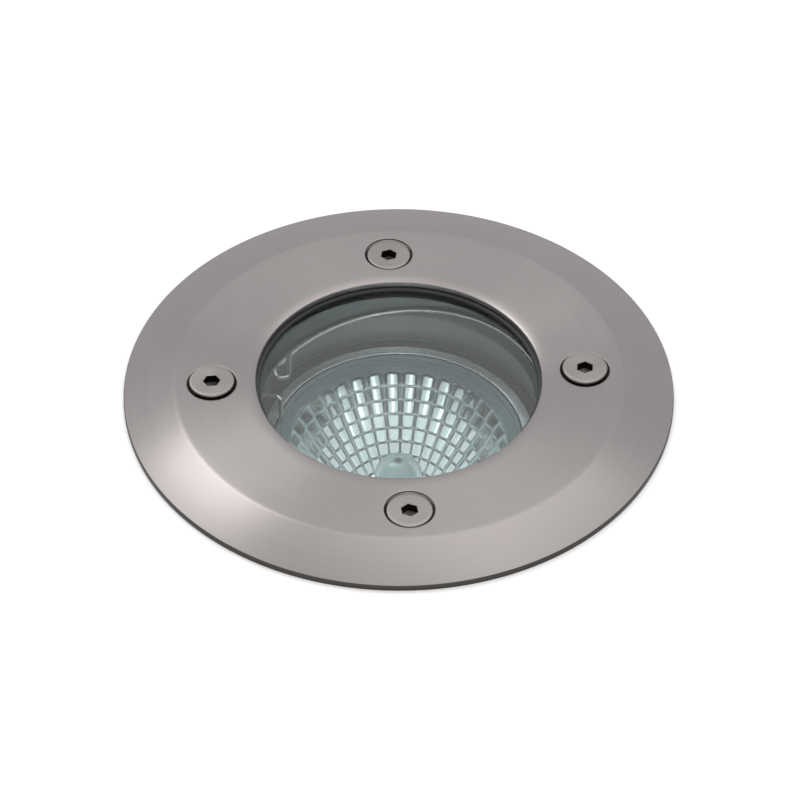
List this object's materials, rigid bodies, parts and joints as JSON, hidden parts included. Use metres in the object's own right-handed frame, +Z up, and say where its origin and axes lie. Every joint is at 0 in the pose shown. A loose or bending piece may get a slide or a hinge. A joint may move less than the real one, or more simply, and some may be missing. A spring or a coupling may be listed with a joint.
{
  "type": "in ground well light",
  "caption": "Round recessed ground light: bevelled metal trim over a glass-covered well with a clipped faceted reflector lamp, set in a buried cylindrical sleeve.",
  "frame": {"origin": "centre of the ground sleeve's lower rim, on the light's axis", "axes": "+Z up out of the ground along the light's axis; +X and -X carry the two fixing screws, +Y and -Y the two trim screws; the front is -Y"},
  "size_m": [0.11, 0.11, 0.1347],
  "materials": {
    "stainless_trim": "turned 316 stainless steel, fine circular lay",
    "stainless_screw": "A2 stainless steel, cold headed",
    "toughened_glass": "clear toughened soda-lime glass",
    "black_rubber": "black EPDM, matt",
    "moulded_black": "black moulded polypropylene",
    "brass_insert": "turned brass",
    "cast_aluminium": "die-cast aluminium, plain",
    "turned_aluminium": "turned aluminium, satin",
    "spring_wire": "drawn stainless spring wire",
    "dichroic_reflector": "pressed glass with a dichroic mirror coat",
    "lamp_front_glass": "clear lamp front glass",
    "quartz": "clear fused quartz",
    "tungsten": "coiled tungsten wire",
    "white_ceramic": "unglazed steatite ceramic",
    "nickel_pin": "nickel-plated pin",
    "lead_insulation": "white silicone lead insulation",
    "block_plastic": "natural polyamide",
    "plated_screw": "zinc-plated steel",
    "nickel_brass": "nickel-plated brass"
  },
  "bodies": {
    "sleeve": {"ground_sleeve": "moulded_black", "sleeve_inserts": "brass_insert", "rim_gasket": "black_rubber"},
    "light_unit": {"light_can": "cast_aluminium", "lamp_ring": "turned_aluminium", "lamp_clip": "spring_wire", "lamp_reflector": "dichroic_reflector", "lamp_cover_glass": "lamp_front_glass", "lamp_capsule": "quartz", "lamp_filament": "tungsten", "lamp_base": "white_ceramic", "lamp_pins": "nickel_pin", "lampholder": "white_ceramic", "lamp_leads": "lead_insulation", "terminal_block": "block_plastic", "terminal_screws": "plated_screw", "terminal_tubes": "brass_insert", "block_screw": "plated_screw", "gland_body": "nickel_brass", "gland_nut": "nickel_brass", "gland_washer": "black_rubber", "gland_seal": "black_rubber"},
    "cover": {"trim_ring": "stainless_trim", "lens_glass": "toughened_glass", "lens_gasket": "black_rubber", "trim_screws": "stainless_screw", "fixing_screws": "stainless_screw"}
  },
  "joints": [
    {"name": "unit_lift", "type": "slide", "parent": "sleeve", "child": "light_unit", "axis": [0, 0, 1], "range_m": [0, 0.125]},
    {"name": "cover_lift", "type": "slide", "parent": "light_unit", "child": "cover", "axis": [0, 0, 1], "range_m": [0, 0.05]}
  ]
}
